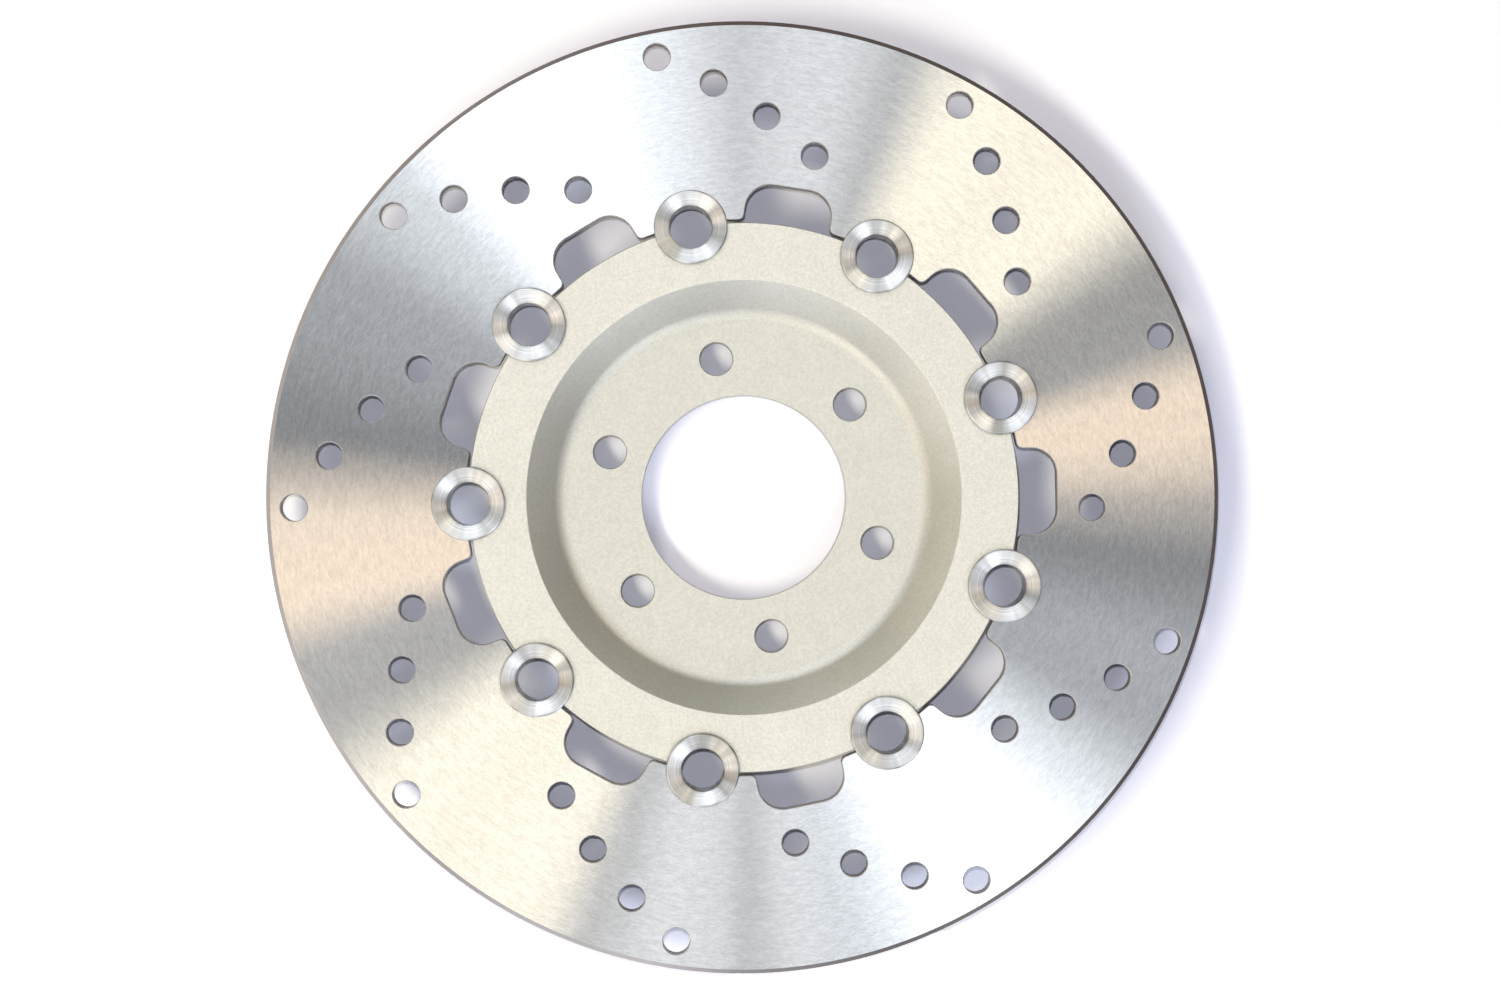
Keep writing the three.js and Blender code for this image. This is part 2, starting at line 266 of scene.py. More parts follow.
class Shell:
    """A closed mesh put together from loops of points at given depths, strips between them and flat caps."""

    def __init__(self):
        self.points = []
        self.faces = []

    def loop(self, outline, y):
        first = len(self.points)
        self.points += [(point[0], y, point[1]) for point in outline]
        return list(range(first, len(self.points)))

    def strip(self, *loops):
        for a, b in zip(loops, loops[1:]):
            count = len(a)
            for index in range(count):
                after = (index + 1) % count
                self.faces.append((a[index], a[after], b[after], b[index]))

    def through(self, outline, front, back, bevel):
        """Walls of an edge or a hole between two faces, with a bevel at each.

        outline(distance) is the edge moved that distance into the material.
        """
        loops = [
            self.loop(outline(bevel), front),
            self.loop(outline(0), front + bevel),
            self.loop(outline(0), back - bevel),
            self.loop(outline(bevel), back),
        ]
        self.strip(*loops)
        return loops[0], loops[-1]

    def cap(self, loops, fill=()):
        """A flat face bounded by loops, the first of them outside and the others holes in it."""
        y = self.points[loops[0][0]][1]
        seeds = list(range(len(self.points), len(self.points) + len(fill)))
        self.points += [(point[0], y, point[1]) for point in fill]
        every = [index for one in loops for index in one] + seeds
        owner = [number for number, one in enumerate(loops) for _ in one] + [None] * len(seeds)
        flat = [Vector((self.points[index][0], self.points[index][2])) for index in every]
        edges = []
        first = 0
        borders = []
        for one in loops:
            count = len(one)
            edges += [(first + step, first + (step + 1) % count) for step in range(count)]
            borders.append(flat[first:first + count])
            first += count
        _, _, triangles, origins, _, _ = geometry.delaunay_2d_cdt(flat, edges, [], 0, 1e-9)
        for triangle in triangles:
            corners = [origins[corner][0] for corner in triangle]
            owners = {owner[corner] for corner in corners}
            number = owners.pop()
            if not owners and number is not None:
                middle = (flat[corners[0]] + flat[corners[1]] + flat[corners[2]]) / 3
                if encloses(borders[number], middle) != (number == 0):
                    continue
            self.faces.append([every[corner] for corner in corners])

    def finish(self, name):
        """The shell as an object of the scene."""
        mesh = bpy.data.meshes.new(name)
        mesh.from_pydata(self.points, [], self.faces)
        work = bmesh.new()
        work.from_mesh(mesh)
        bmesh.ops.remove_doubles(work, verts=work.verts, dist=WELD_DISTANCE)
        bmesh.ops.recalc_face_normals(work, faces=work.faces)
        work.to_mesh(mesh)
        work.free()
        mesh.shade_smooth()
        mesh.set_sharp_from_angle(angle=SMOOTH_ANGLE)
        piece = bpy.data.objects.new(name, mesh)
        bpy.context.scene.collection.objects.link(piece)
        return piece


def turned(name, profile, count):
    """A closed profile of (radius, y) corners turned round the piece's own Y axis."""
    shell = Shell()
    loops = [shell.loop(circle(radius, count), y) for radius, y in profile]
    shell.strip(*loops, loops[0])
    return shell.finish(name)


def fill_points(inner, outer, spacing, holes, margin):
    """Evenly spaced points between two radii that keep clear of round holes, for even triangles in a cap."""
    points = []
    rows = max(1, round((outer - inner) / spacing))
    for row in range(rows + 1):
        radius = inner + (outer - inner) * row / rows
        count = 6 * round(2 * math.pi * radius / spacing / 6)
        for index in range(count):
            point = polar(radius, (index + row / 2) * 2 * math.pi / count)
            if all((point - centre).length > clear + margin for centre, clear in holes):
                points.append(point)
    return points


def friction_ring():
    shell = Shell()
    rim = shell.through(lambda grow: circle(RING_OUTER - grow), FRONT, BACK, RING_EDGE_CHAMFER)
    inner = shell.through(ring_inner_outline, FRONT, BACK, EDGE_BREAK)
    places = drill_places()
    holes = []
    for place in places:
        holes.append(shell.through(lambda grow: circle(DRILL_RADIUS + grow, DRILL_AROUND, place),
                                   FRONT, BACK, EDGE_BREAK))
    drills = [(place, DRILL_RADIUS) for place in places]
    seeds = fill_points(WINDOW_TOP + WINDOW_MARGIN, RING_OUTER - EDGE_MARGIN, FILL_SPACING,
                        drills, DRILL_MARGIN)
    for side in (0, 1):
        shell.cap([rim[side], inner[side]] + [hole[side] for hole in holes], seeds)
    return shell.finish("friction_ring_ground")


def carrier():
    floor_front = FRONT + DISH_DEPTH
    shell = Shell()
    rim = shell.through(carrier_outline, FRONT, BACK, EDGE_BREAK)
    bore = shell.through(lambda grow: circle(BORE_RADIUS + grow), floor_front, FLOOR_BACK, BORE_BREAK)
    places = bolt_places()
    bolts = []
    for place in places:
        bolts.append(shell.through(lambda grow: circle(BOLT_HOLE + grow, BOLT_HOLE_AROUND, place),
                                   floor_front, FLOOR_BACK, EDGE_BREAK))

    # The dish, from the flange's edge down the 45 degree wall and round the fillet to the floor.
    bend = math.pi / 4
    edge_reach = DISH_EDGE_ROUND * math.tan(bend / 2)
    fillet_reach = DISH_FILLET * math.tan(bend / 2)
    edge = arc((FLANGE_INNER + edge_reach, FRONT + DISH_EDGE_ROUND), DISH_EDGE_ROUND,
               -math.pi / 2, -math.pi / 2 - bend, 4)
    floor_edge = FLANGE_INNER - DISH_DEPTH
    fillet = arc((floor_edge - fillet_reach, floor_front - DISH_FILLET), DISH_FILLET,
                 math.pi / 2 - bend, math.pi / 2, 10)
    dish = [shell.loop(circle(radius), y) for radius, y in edge + fillet]
    shell.strip(*dish)

    # The back of the dish, from the floor's heel up the cone to the back of the flange.
    cone_top = FLANGE_INNER + WALL_THICKNESS * math.sqrt(2) - (BACK - FRONT)
    heel_radius = cone_top - (FLOOR_BACK - BACK)
    heel_reach = HEEL_ROUND * math.tan(bend / 2)
    root_reach = FLANGE_BACK_ROUND * math.tan(bend / 2)
    heel = arc((heel_radius - heel_reach, FLOOR_BACK - HEEL_ROUND), HEEL_ROUND,
               math.pi / 2, math.pi / 2 - bend, 8)
    root = arc((cone_top + root_reach, BACK + FLANGE_BACK_ROUND), FLANGE_BACK_ROUND,
               -math.pi / 2 - bend, -math.pi / 2, 6)
    cone = [shell.loop(circle(radius), y) for radius, y in heel + root]
    shell.strip(*cone)

    notches = [(Vector((place.x, place.z)), NOTCH_RADIUS) for place in STATIONS]
    bolt_holes = [(place, BOLT_HOLE) for place in places]
    flange_edge = CARRIER_OUTER - EDGE_MARGIN
    flange_seeds = fill_points(FLANGE_INNER + EDGE_MARGIN, flange_edge, FLANGE_FILL_SPACING,
                               notches, HOLE_MARGIN)
    floor_seeds = fill_points(BORE_RADIUS + EDGE_MARGIN, fillet[-1].x - EDGE_MARGIN, FILL_SPACING,
                              bolt_holes, HOLE_MARGIN)
    back_seeds = fill_points(root[-1].x + HOLE_MARGIN, flange_edge, FLANGE_FILL_SPACING,
                             notches, HOLE_MARGIN)
    shell.cap([rim[0], dish[0]], flange_seeds)
    shell.cap([dish[-1], bore[0]] + [bolt[0] for bolt in bolts], floor_seeds)
    shell.cap([cone[0], bore[1]] + [bolt[1] for bolt in bolts], floor_seeds)
    shell.cap([rim[1], cone[-1]], back_seeds)
    return shell.finish("carrier_blasted")


def rounded(corners, radius, steps=3):
    """A closed (radius, y) profile with each corner rounded by up to radius."""
    points = []
    count = len(corners)
    for index, corner in enumerate(corners):
        here = Vector(corner)
        before = Vector(corners[index - 1]) - here
        after = Vector(corners[(index + 1) % count]) - here
        reach = min(radius, before.length * 0.4, after.length * 0.4)
        start = here + before.normalized() * reach
        end = here + after.normalized() * reach
        for step in range(steps + 1):
            t = step / steps
            points.append(start * (1 - t) ** 2 + here * 2 * t * (1 - t) + end * t**2)
    return points


def bobbin(name):
    front, end = BOBBIN_LOW.y, BOBBIN_HIGH.y
    underside = front + BOBBIN_FLANGE
    groove_front = CIRCLIP_LOW.y - GROOVE_MARGIN
    groove_back = CIRCLIP_HIGH.y + GROOVE_MARGIN
    corners = [
        (BOBBIN_BORE, end),
        (BOBBIN_BORE, front + BOBBIN_DISH),
        (BOBBIN_RIM, front),
        (FLANGE_RADIUS - FLANGE_CHAMFER, front),
        (FLANGE_RADIUS, front + FLANGE_CHAMFER),
        (FLANGE_RADIUS, underside),
        (BOBBIN_SHANK, underside),
        (BOBBIN_SHANK, groove_front),
        (GROOVE_RADIUS, groove_front),
        (GROOVE_RADIUS, groove_back),
        (BOBBIN_SHANK, groove_back),
        (BOBBIN_SHANK, end),
    ]
    return turned(name, rounded(corners, BOBBIN_ROUND), PLAIN_AROUND)


def wave_washer(name):
    """A flat spring strip with rounded edges, bent into waves round its circle."""
    outer = (WAVE_HIGH.x - WAVE_LOW.x) / 2
    middle = (WAVE_LOW.y + WAVE_HIGH.y) / 2
    swing = (WAVE_HIGH.y - WAVE_LOW.y - WAVE_STRIP) / 2
    half = WAVE_STRIP / 2
    corners = [(WASHER_INNER, half), (WASHER_INNER, -half), (outer, -half), (outer, half)]
    piece = turned(name, rounded(corners, WIRE_ROUND), WAVE_AROUND)
    for vertex in piece.data.vertices:
        angle = math.atan2(vertex.co.z, vertex.co.x)
        vertex.co.y += middle + swing * math.cos(WAVE_COUNT * angle)
    return piece


def flat_washer(name):
    outer = (WASHER_HIGH.x - WASHER_LOW.x) / 2
    low, high = WASHER_LOW.y, WASHER_HIGH.y
    corners = [(WASHER_INNER, high), (WASHER_INNER, low), (outer, low), (outer, high)]
    return turned(name, rounded(corners, WIRE_ROUND), PLAIN_AROUND)


def circlip_outline(grow):
    """The circlip's whole edge, with its mouth along +z, moved into the wire by grow.

    It runs along one half's outer edge, ear and inner edge, and back along the other half's.
    """
    up = math.pi / 2
    down = 1.5 * math.pi
    inner = CIRCLIP_INNER + grow
    outer = CIRCLIP_OUTER - grow
    ear = CIRCLIP_EAR - grow
    ear_at = polar(CIRCLIP_OUTER, up + CIRCLIP_EAR_ANGLE)
    # The ear starts where its circle crosses the outer edge and stops near the foot of the mouth.
    crossing = math.acos((CIRCLIP_OUTER**2 + ear**2 - outer**2) / (2 * CIRCLIP_OUTER * ear))
    start = math.atan2(-ear_at.y, -ear_at.x) - crossing
    foot = polar(inner, up + CIRCLIP_MOUTH)
    end = math.atan2(foot.y - ear_at.y, foot.x - ear_at.x) + CIRCLIP_EAR_END
    while end > start:
        end -= 2 * math.pi
    left_ear = arc(ear_at, ear, start, end, 20)
    first = math.atan2(left_ear[0].y, left_ear[0].x) % (2 * math.pi)
    left_outer = arc((0, 0), outer, down, first, 36)
    left_inner = arc((0, 0), inner, up + CIRCLIP_MOUTH, down, 36)
    half = left_outer + left_ear[1:] + left_inner
    mirrored = [Vector((-point.x, point.y)) for point in reversed(half)]
    return half[:-1] + mirrored[:-1]


def circlip(name):
    """Ring, ears and their holes as one plate with broken edges."""
    shell = Shell()
    front, back = CIRCLIP_LOW.y, CIRCLIP_HIGH.y
    edge = shell.through(circlip_outline, front, back, WIRE_ROUND)
    holes = []
    for side in (-1, 1):
        ear_at = polar(CIRCLIP_OUTER, math.pi / 2 + side * CIRCLIP_EAR_ANGLE)
        holes.append(shell.through(lambda grow: circle(CIRCLIP_EAR_HOLE + grow, EAR_HOLE_AROUND, ear_at),
                                   front, back, WIRE_ROUND / 2))
    for side in (0, 1):
        shell.cap([edge[side]] + [hole[side] for hole in holes])
    return shell.finish(name)


# --- Node helpers ---------------------------------------------------------------------------------

class Nodes:
    """Short ways to add and join shader nodes in one tree."""

    def __init__(self, tree):
        self.tree = tree
        tree.nodes.clear()

    def add(self, kind, **settings):
        node = self.tree.nodes.new(kind)
        for name, value in settings.items():
            setattr(node, name, value)
        return node

    def put(self, socket, value):
        if isinstance(value, bpy.types.NodeSocket):
            self.tree.links.new(value, socket)
        elif value is not None:
            socket.default_value = value

    def math(self, operation, a, b=None, c=None):
        node = self.add("ShaderNodeMath", operation=operation)
        for socket, value in zip(node.inputs, (a, b, c)):
            self.put(socket, value)
        return node.outputs[0]

    def vector(self, x, y, z):
        node = self.add("ShaderNodeCombineXYZ")
        for socket, value in zip(node.inputs, (x, y, z)):
            self.put(socket, value)
        return node.outputs[0]

    def split(self, vector):
        node = self.add("ShaderNodeSeparateXYZ")
        self.put(node.inputs[0], vector)
        return node.outputs

    def dot(self, vector, fixed):
        """The dot product of a vector with a fixed one."""
        node = self.add("ShaderNodeVectorMath", operation="DOT_PRODUCT")
        self.put(node.inputs[0], vector)
        node.inputs[1].default_value = fixed
        return node.outputs["Value"]

    def remap(self, value, low, high, start=0.0, end=1.0, way="LINEAR"):
        """A value mapped from low..high to start..end and held there at both ends."""
        node = self.add("ShaderNodeMapRange", interpolation_type=way)
        for socket, item in zip(node.inputs, (value, low, high, start, end)):
            self.put(socket, item)
        return node.outputs[0]

    def step(self, value, low, high):
        """A smooth step from 0 at low to 1 at high."""
        return self.remap(value, low, high, way="SMOOTHSTEP")

    def place(self):
        """The shaded point in the piece's own axes."""
        return self.add("ShaderNodeTexCoord").outputs["Object"]

    def place_round_axis(self):
        """The shaded point's distance from the Y axis, its x and z per unit of that, and its y."""
        x, y, z = self.split(self.place())
        radius = self.math("SQRT", self.math("ADD", self.math("MULTIPLY", x, x), self.math("MULTIPLY", z, z)))
        return radius, self.math("DIVIDE", x, radius), self.math("DIVIDE", z, radius), y

    def squareness(self):
        """1 where the surface is square to the Y axis, 0 where it runs along it."""
        normal = self.add("ShaderNodeNewGeometry").outputs["True Normal"]
        return self.math("ABSOLUTE", self.split(normal)[1])

    def noise(self, vector, scale, detail=2.0, roughness=0.5):
        node = self.add("ShaderNodeTexNoise")
        self.put(node.inputs["Vector"], vector)
        node.inputs["Scale"].default_value = scale
        node.inputs["Detail"].default_value = detail
        node.inputs["Roughness"].default_value = roughness
        return node.outputs["Fac"]

    def mix(self, factor, a, b, blend="MIX"):
        node = self.add("ShaderNodeMix", data_type="RGBA", blend_type=blend)
        self.put(node.inputs["Factor"], factor)
        self.put(node.inputs["A"], a)
        self.put(node.inputs["B"], b)
        return node.outputs["Result"]

    def ramp(self, factor, stops):
        node = self.add("ShaderNodeValToRGB")
        elements = node.color_ramp.elements
        while len(elements) > 1:
            elements.remove(elements[-1])
        for index, (place, colour) in enumerate(stops):
            element = elements[0] if index == 0 else elements.new(place)
            element.position = place
            element.color = colour
        self.put(node.inputs[0], factor)
        return node.outputs[0]

    def bump(self, height, distance):
        node = self.add("ShaderNodeBump")
        node.inputs["Distance"].default_value = distance
        self.put(node.inputs["Height"], height)
        return node.outputs["Normal"]

    def surface(self, shader):
        output = self.add("ShaderNodeOutputMaterial")
        self.put(output.inputs["Surface"], shader)

    def paper(self, colour, glow_level):
        """A matt surface that glows a little, as paper lit from behind does."""
        diffuse = self.add("ShaderNodeBsdfDiffuse")
        diffuse.inputs["Color"].default_value = colour
        glow = self.add("ShaderNodeEmission")
        glow.inputs["Strength"].default_value = glow_level
        both = self.add("ShaderNodeAddShader")
        self.put(both.inputs[0], diffuse.outputs[0])
        self.put(both.inputs[1], glow.outputs[0])
        return both.outputs[0]

    def brushed(self, colour, roughness, anisotropy, normal):
        """A metal whose grain runs round the piece's own Y axis."""
        tangent = self.add("ShaderNodeTangent", direction_type="RADIAL", axis="Y").outputs[0]
        shader = self.add("ShaderNodeBsdfAnisotropic", distribution="MULTI_GGX")
        self.put(shader.inputs["Color"], colour)
        self.put(shader.inputs["Roughness"], roughness)
        self.put(shader.inputs["Anisotropy"], anisotropy)
        self.put(shader.inputs["Tangent"], tangent)
        self.put(shader.inputs["Normal"], normal)
        self.surface(shader.outputs[0])

    def metal(self, colour, roughness, normal, metallic=1.0):
        """A metal with no direction in its grain."""
        shader = self.add("ShaderNodeBsdfPrincipled")
        self.put(shader.inputs["Base Color"], colour)
        self.put(shader.inputs["Roughness"], roughness)
        self.put(shader.inputs["Metallic"], metallic)
        self.put(shader.inputs["Normal"], normal)
        self.surface(shader.outputs[0])


def new_material(name):
    material = bpy.data.materials.new(name)
    material.use_nodes = True
    return material, Nodes(material.node_tree)


def grey(value, tint=(1, 1, 1)):
    return tuple(value * channel for channel in tint) + (1,)


# --- Metals ---------------------------------------------------------------------------------------

RIM_SHADE_ANGLE = 20 * DEGREE  # the side of the picture on which the ring's rim is painted in the deepest shade
GROUND_FROM = 0.95  # how square to the axis a face of the ring has to be to count as ground


def ring_grain(nodes, streak_length, pitch):
    """A place for noise that draws it out into short streaks along circles about the Y axis."""
    radius, across, upward, y = nodes.place_round_axis()
    reach = RING_OUTER / streak_length
    return nodes.vector(
        nodes.math("MULTIPLY", across, reach),
        nodes.math("MULTIPLY", upward, reach),
        nodes.math("DIVIDE", nodes.math("ADD", radius, y), pitch),
    )


def ground_steel():
    """Faces ground in circles, edges and holes that are cut, and a rim chamfer painted dark as shade, darkest
    on one side.
    """
    material, nodes = new_material("ground_steel")
    fine = nodes.noise(ring_grain(nodes, 1.6 * MM, 0.4 * MM), 1.0, 3.0, 0.6)
    broad = nodes.noise(ring_grain(nodes, 5 * MM, 1.2 * MM), 1.0, 2.0, 0.5)
    both = nodes.math("ADD", nodes.math("MULTIPLY", fine, 0.6), nodes.math("MULTIPLY", broad, 0.4))
    ground = nodes.mix(nodes.remap(both, 0.36, 0.64), grey(0.445), grey(0.58))
    cut = nodes.mix(both, (0.42, 0.40, 0.38, 1), (0.66, 0.64, 0.62, 1))

    # Painted shade: the rim chamfer is painted dark, and darkest on one side of the picture.
    deep_shade_rim = nodes.mix(both, (0.07, 0.055, 0.05, 1), (0.14, 0.12, 0.11, 1))
    light_shade_rim = nodes.mix(both, (0.26, 0.24, 0.225, 1), (0.42, 0.395, 0.37, 1))
    toward_rim_shade = nodes.dot(nodes.place(), direction(RIM_SHADE_ANGLE, 90 * DEGREE) / RING_OUTER)
    rim = nodes.mix(nodes.remap(toward_rim_shade, -0.9, 0.3, 1.0, 0.0), deep_shade_rim, light_shade_rim)

    radius = nodes.place_round_axis()[0]
    at_rim = nodes.math("GREATER_THAN", radius, RING_OUTER - RING_EDGE_CHAMFER)
    is_ground = nodes.math("GREATER_THAN", nodes.squareness(), GROUND_FROM)
    # The rim chamfer takes its painted shade here.
    colour = nodes.mix(is_ground, nodes.mix(at_rim, cut, rim), ground)
    cut_roughness = nodes.remap(at_rim, 0, 1, 0.55, 0.34)
    roughness = nodes.remap(is_ground, 0, 1, cut_roughness, nodes.remap(fine, 0.25, 0.75, 0.13, 0.155))
    nodes.brushed(colour, roughness, nodes.math("MULTIPLY", is_ground, 0.92), nodes.bump(both, 0.004 * MM))
    return material


def blasted_aluminium():
    """Fine dark grit over pale cloudy metal, with painted shade that makes it a little darker down in the dish
    and on its wall.
    """
    material, nodes = new_material("blasted_aluminium")
    place = nodes.place()
    grit = nodes.noise(place, 1 / (0.9 * MM), 4.0, 0.75)
    cloud = nodes.noise(place, 1 / (9 * MM), 3.0, 0.5)
    base = nodes.mix(cloud, (0.545, 0.535, 0.485, 1), (0.60, 0.59, 0.54, 1))
    # Painted shade: the colour darkens down in the dish and on its sloping wall.
    dish_painted_shade = nodes.remap(nodes.split(place)[1], FRONT, FRONT + DISH_DEPTH, 1.0, 0.90)
    wall_painted_shade = nodes.remap(nodes.squareness(), 0.72, 0.98, 0.88, 1.0)
    shade = nodes.math("MULTIPLY", dish_painted_shade, wall_painted_shade)
    base = nodes.mix(1.0, base, nodes.vector(shade, shade, shade), "MULTIPLY")
    colour = nodes.mix(nodes.remap(grit, 0.37, 0.63, 0.0, 0.36), base, (0.33, 0.32, 0.29, 1))
    nodes.metal(colour, nodes.remap(grit, 0.3, 0.7, 0.40, 0.50), nodes.bump(grit, 0.045 * MM), metallic=0.9)
    return material


def turned_steel():
    """Fine turning rings, and lighter and darker sectors round the axis: a painted reflection that differs from
    bobbin to bobbin.
    """
    material, nodes = new_material("turned_steel")
    radius, across, upward, y = nodes.place_round_axis()
    pitch = 0.4 * MM
    ring_place = nodes.vector(0.0, nodes.math("DIVIDE", y, pitch), nodes.math("DIVIDE", radius, pitch))
    rings = nodes.noise(ring_place, 1.0, 3.0, 0.6)
    own = nodes.math("MULTIPLY", nodes.add("ShaderNodeObjectInfo").outputs["Random"], 20.0)
    # Painted reflection: darker sectors round the axis, as the fans that turned faces mirror.
    painted_reflection_wedges = nodes.noise(nodes.vector(across, own, upward), 1.6, 2.0)
    colour = nodes.mix(nodes.remap(rings, 0.35, 0.65), grey(0.44), grey(0.70))
    colour = nodes.mix(nodes.remap(painted_reflection_wedges, 0.42, 0.68, 0.0, 0.75), colour, (0.25, 0.24, 0.22, 1))
    nodes.brushed(colour, nodes.remap(rings, 0.3, 0.7, 0.30, 0.38), 0.55, nodes.bump(rings, 0.02 * MM))
    return material


def cloudy_metal(name, size, roughness, shades, detail=4.0, metallic=1.0):
    """A plain metal whose colour and roughness wander between two values over patches of a given size."""
    material, nodes = new_material(name)
    cloud = nodes.noise(nodes.place(), 1 / size, detail, 0.6)
    colour = nodes.mix(cloud, *shades)
    nodes.metal(colour, nodes.remap(cloud, 0.3, 0.7, *roughness), nodes.bump(cloud, 0.01 * MM), metallic)
    return material


def spring_steel():
    shades = (0.30, 0.28, 0.26, 1), (0.50, 0.47, 0.43, 1)
    return cloudy_metal("spring_steel", 2 * MM, (0.26, 0.42), shades)


def zinc_plate():
    shades = (0.60, 0.62, 0.65, 1), (0.76, 0.78, 0.80, 1)
    return cloudy_metal("zinc_plate", 1.5 * MM, (0.30, 0.48), shades)


def phosphate():
    shades = (0.030, 0.030, 0.034, 1), (0.085, 0.085, 0.09, 1)
    return cloudy_metal("phosphate", 0.3 * MM, (0.42, 0.58), shades, detail=3.0, metallic=0.6)


# --- Assembly -------------------------------------------------------------------------------------

def fit(piece, node, body, material):
    """Give a piece its material, and put it in a node's place and on a body."""
    piece.data.materials.append(material)
    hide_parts(node)
    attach(piece, body)


def build_rotor():
    fit(friction_ring(), "friction_ring", "friction_ring", ground_steel())
    fit(carrier(), "carrier", "carrier", blasted_aluminium())
    stack = [
        ("bobbin", "turned", bobbin, turned_steel(), "bobbin_steel"),
        ("wave_washer", "sprung", wave_washer, spring_steel(), "spring_steel"),
        ("flat_washer", "plated", flat_washer, zinc_plate(), "washer_zinc"),
        ("circlip", "black", circlip, phosphate(), "circlip_phosphate"),
    ]
    for node, word, make, material, slot in stack:
        model = make(f"{node}_{word}_1")
        for index, (place, angle) in enumerate(zip(STATIONS, STATION_ANGLES), 1):
            piece = model
            if index > 1:
                piece = bpy.data.objects.new(f"{node}_{word}_{index}", model.data.copy())
                piece.data.materials.clear()
                bpy.context.scene.collection.objects.link(piece)
            piece.location = (place.x, 0, place.z)
            piece.rotation_euler = (0, math.pi / 2 - angle, 0)
            fit(piece, f"{node}_{index}", f"bobbin_{index}", material)


# --- Stage: floor, backdrop, light and camera -----------------------------------------------------

CAMERA_ROLL = 11.27 * DEGREE
CAMERA_DISTANCE = 750 * MM
CAMERA_LENS = 57.25  # focal length and sensor width, both in real millimetres as Blender takes them
CAMERA_SENSOR = 36
CAMERA_NEAR = 10 * MM
CAMERA_SHIFT = Vector((1.705, -0.775)) * MM
CAMERA_TILT = 0.11 * DEGREE
CAMERA_SWING = 1.45 * DEGREE


def camera():
    """The photographer's view: nearly along the spin axis, with the rotor turned a little in the frame."""
    # The rows of tilt are the camera's right, up and back. Its axes have x to the right and y up in the
    # picture, and z to the eye.
    tilt = Matrix.Rotation(CAMERA_TILT, 3, "X") @ Matrix.Rotation(CAMERA_SWING, 3, "Y")
    offset = tilt.transposed() @ Vector((CAMERA_SHIFT.x, CAMERA_SHIFT.y, CAMERA_DISTANCE))

    def from_picture(vector):
        """A vector turned from those axes into the rotor's own."""
        x = vector.x * math.cos(CAMERA_ROLL) + vector.y * math.sin(CAMERA_ROLL)
        z = vector.y * math.cos(CAMERA_ROLL) - vector.x * math.sin(CAMERA_ROLL)
        return Vector((x, -vector.z, z))

    place = from_picture(offset) + Vector((0, FRONT, 0))
    data = bpy.data.cameras.new("camera")
    data.lens = CAMERA_LENS
    data.sensor_width = CAMERA_SENSOR
    data.clip_start = CAMERA_NEAR
    view = bpy.data.objects.new("camera", data)
    view.matrix_world = Matrix([from_picture(row) for row in tilt]).transposed().to_4x4()
    view.location = place
    bpy.context.scene.collection.objects.link(view)
    bpy.context.scene.camera = view
    return place


# Tints of light.
WHITE = (1.0, 1.0, 1.0)
COOL = (0.95, 1.0, 1.06)
CREAM = (1.07, 1.0, 0.84)
TAN = (1.2, 1.0, 0.8)
AMBER = (1.1, 1.0, 0.75)
SKY = (0.95, 1.0, 1.15)

# The panels that the metals mirror near the axis, which show as fans on the ground ring. Each one has the
# angles in the picture at which it starts and ends, in degrees, then its level and its tint. Each one fades
# into the next.
DARK = 0.5
DIM = 1.0
SOFT = 1.5
BRIGHT = 1.9
GLARING = 3.0
LIGHT_FANS = [
    (8, 14, SOFT, TAN),
    (20, 30, DARK, WHITE),
    (38, 62, BRIGHT, CREAM),
    (69, 70, DIM, COOL),
    (74, 95, SOFT, COOL),
    (108, 128, GLARING, COOL),
    (137, 143, DIM, COOL),
    (160, 172, DARK, COOL),
    (182, 193, BRIGHT, TAN),
    (200, 208, DIM, WHITE),
    (220, 245, BRIGHT, CREAM),
    (250, 252, DIM, WHITE),
    (258, 267, SOFT, WHITE),
    (270, 271, DIM, WHITE),
    (275, 276, SOFT, WHITE),
    (282, 285, DIM, COOL),
    (298, 312, GLARING, COOL),
    (330, 340, DIM, COOL),
    (352, 360, DARK, COOL),
]

# The skirt of light that the metals mirror out near the rotor's plane. It swells towards one side, and its
# tint turns from amber to sky towards another.
SKIRT_STOPS = 12
SKIRT_DARK = 0.05
SKIRT_BRIGHT = 2.3
SKIRT_BRIGHT_ANGLE = 230 * DEGREE
SKIRT_SKY_ANGLE = 290 * DEGREE

# What lights the paper: one glow part way out from the axis, weak ones near it and near the rotor's plane,
# and lamps. Each lamp has its angle in the picture, its tilt off the axis and its half sizes round the axis
# and along the tilt, all in degrees, then its level and tint.
PAPER_MIDDLE = (0.9, 0.8, 0.8, 1)
PAPER_LOW = (0.1, 0.1, 0.15, 1)
PAPER_NEAR = (0.05, 0.05, 0.05, 1)
PAPER_LAMPS = {
    "long_box_on_paper": (210, 35, 20, 6, 1.0, AMBER),
    "upper_box_on_paper": (120, 55, 10, 6, 0.6, AMBER),
    "lower_box_on_paper": (280, 55, 15, 6, 0.9, COOL),
}

# Where one kind of light gives way to the next, as the share of a ray's direction that lies along the axis:
# 1 on the axis, 0 in the rotor's plane.
SKIRT_TO_FANS = (0.25, 0.55)
STRIPES_TO_PLAIN = (0.68, 0.84)
PAPER_LOW_TO_MIDDLE = (0.50, 0.65)
PAPER_MIDDLE_TO_NEAR = (0.85, 0.95)

# Away from the axis the light carries stripes, which give the ground faces their fans in slanting views.
STRIPE_COUNT = 18
SWELL_COUNT = 7
STRIPE_DEPTH = 0.30
STRIPE_LEVEL = 0.80

